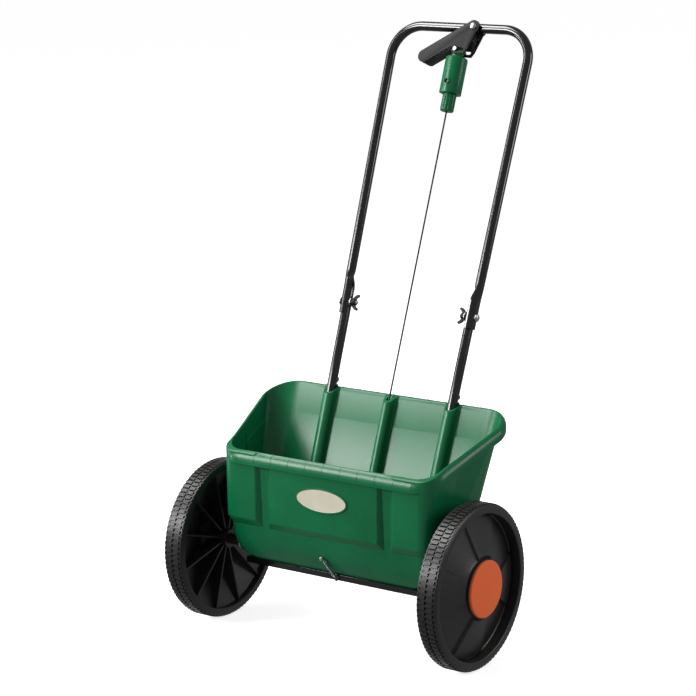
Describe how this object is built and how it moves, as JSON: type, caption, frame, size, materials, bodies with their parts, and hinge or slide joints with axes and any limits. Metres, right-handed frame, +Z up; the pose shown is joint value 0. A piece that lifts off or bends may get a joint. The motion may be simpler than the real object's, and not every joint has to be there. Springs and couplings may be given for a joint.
{
  "type": "garden spreader",
  "caption": "Drop spreader for lawn seed: moulded hopper on two ribbed wheels, bent tube handle with a lever that works a metering slide under the floor.",
  "frame": {"origin": "centre of the bounding box's footprint, on the ground under the spreader", "axes": "+Z up, +X along the axle towards the driven wheel, +Y back towards the person pushing, -Y towards the front panel"},
  "size_m": [0.5692, 0.5186, 1.015],
  "materials": {
    "green_plastic": "satin green moulded polypropylene",
    "black_plastic": "black moulded plastic, slightly grained",
    "orange_plastic": "orange moulded plastic",
    "black_paint": "glossy black powder coat on steel",
    "zinc_steel": "bright zinc plate",
    "dark_steel": "dark oiled steel",
    "white_nylon": "natural nylon",
    "label_paper": "plain printed film"
  },
  "bodies": {
    "frame": {"hopper": "green_plastic", "front_label": "label_paper", "lower_tube_left": "black_paint", "lower_tube_right": "black_paint", "tube_plug_left": "black_plastic", "tube_plug_right": "black_plastic", "joint_bolt_left": "zinc_steel", "joint_bolt_right": "zinc_steel", "joint_washer_left": "zinc_steel", "joint_washer_right": "zinc_steel", "tube_stop_screw_left": "dark_steel", "tube_stop_screw_right": "dark_steel", "tube_lock_screw_left": "zinc_steel", "tube_lock_screw_right": "zinc_steel", "upper_handle": "black_paint", "lever_bolt": "zinc_steel", "lever_nut": "zinc_steel", "lever_spacer_front": "black_plastic", "lever_spacer_rear": "black_plastic", "rod_grommet": "black_plastic", "crank_screw": "zinc_steel", "slide_screw_1": "zinc_steel", "slide_screw_2": "zinc_steel", "slide_screw_3": "zinc_steel", "slide_screw_4": "zinc_steel", "slide_nut_1": "zinc_steel", "slide_nut_2": "zinc_steel", "slide_nut_3": "zinc_steel", "slide_nut_4": "zinc_steel", "spring_peg": "zinc_steel", "return_spring": "zinc_steel", "axle_bush_left": "white_nylon", "axle_bush_right": "white_nylon"},
    "wing_nut_left": {"wing_nut_left": "black_plastic"},
    "wing_nut_right": {"wing_nut_right": "black_plastic"},
    "lever": {"control_lever": "black_plastic"},
    "rod": {"rate_housing": "green_plastic", "housing_pin": "zinc_steel", "control_rod": "dark_steel"},
    "knob": {"rate_knob": "green_plastic", "rate_dial": "white_nylon"},
    "crank": {"bell_crank": "dark_steel"},
    "slide": {"metering_slide": "black_paint"},
    "drive": {"axle": "zinc_steel", "agitator_left": "white_nylon", "agitator_right": "white_nylon", "agitator_pin_left": "zinc_steel", "agitator_pin_right": "zinc_steel", "drive_pin": "zinc_steel", "cotter_pin_left": "zinc_steel", "cotter_pin_right": "zinc_steel", "wheel_spacer_left": "black_plastic", "wheel_spacer_right": "black_plastic", "wheel_washer_left": "zinc_steel", "wheel_washer_right": "zinc_steel", "wheel_right": "black_plastic", "hub_cap_right": "orange_plastic"},
    "left_wheel": {"wheel_left": "black_plastic", "hub_cap_left": "orange_plastic"}
  },
  "joints": [
    {"name": "lever_swing", "type": "hinge", "parent": "frame", "child": "lever", "pos_m": [0.027, 0.23931, 0.99974], "axis": [0, 0.9403, -0.3404], "range_deg": [0, 20], "stiffness_Nm_per_rad": 1.6, "springref_deg": -17.19},
    {"name": "rod_travel", "type": "slide", "parent": "frame", "child": "rod", "axis": [0, 0.3404, 0.9403], "range_m": [0, 0.0072]},
    {"name": "crank_swing", "type": "hinge", "parent": "frame", "child": "crank", "pos_m": [-0.02978, -0.06657, 0.15478], "axis": [0, -0.9403, 0.3404], "range_deg": [0, 13.75]},
    {"name": "slide_travel", "type": "slide", "parent": "frame", "child": "slide", "axis": [1, 0, 0], "range_m": [0, 0.0108], "deforming": ["return_spring"]},
    {"name": "rate_knob_turn", "type": "hinge", "parent": "rod", "child": "knob", "pos_m": [0, 0.19632, 0.88981], "axis": [0, 0.3404, 0.9403], "range_deg": [-150, 150]},
    {"name": "wing_nut_left_turn", "type": "hinge", "parent": "frame", "child": "wing_nut_left", "pos_m": [-0.126, 0.07082, 0.5343], "axis": [0.9999, 0.0052, 0.0144], "continuous": true},
    {"name": "wing_nut_right_turn", "type": "hinge", "parent": "frame", "child": "wing_nut_right", "pos_m": [0.126, 0.07082, 0.5343], "axis": [0.9999, -0.0052, -0.0144], "continuous": true},
    {"name": "drive_spin", "type": "hinge", "parent": "frame", "child": "drive", "pos_m": [0.25475, -0.12182, 0.1375], "axis": [1, 0, 0], "continuous": true},
    {"name": "left_wheel_spin", "type": "hinge", "parent": "frame", "child": "left_wheel", "pos_m": [-0.25475, -0.12182, 0.1375], "axis": [1, 0, 0], "continuous": true}
  ],
  "couplings": [
    {"joint": "rod_travel", "follows": "lever_swing", "m_per_rad": 0.020615},
    {"joint": "crank_swing", "follows": "lever_swing", "ratio": 0.68716},
    {"joint": "slide_travel", "follows": "lever_swing", "m_per_rad": 0.030922}
  ]
}
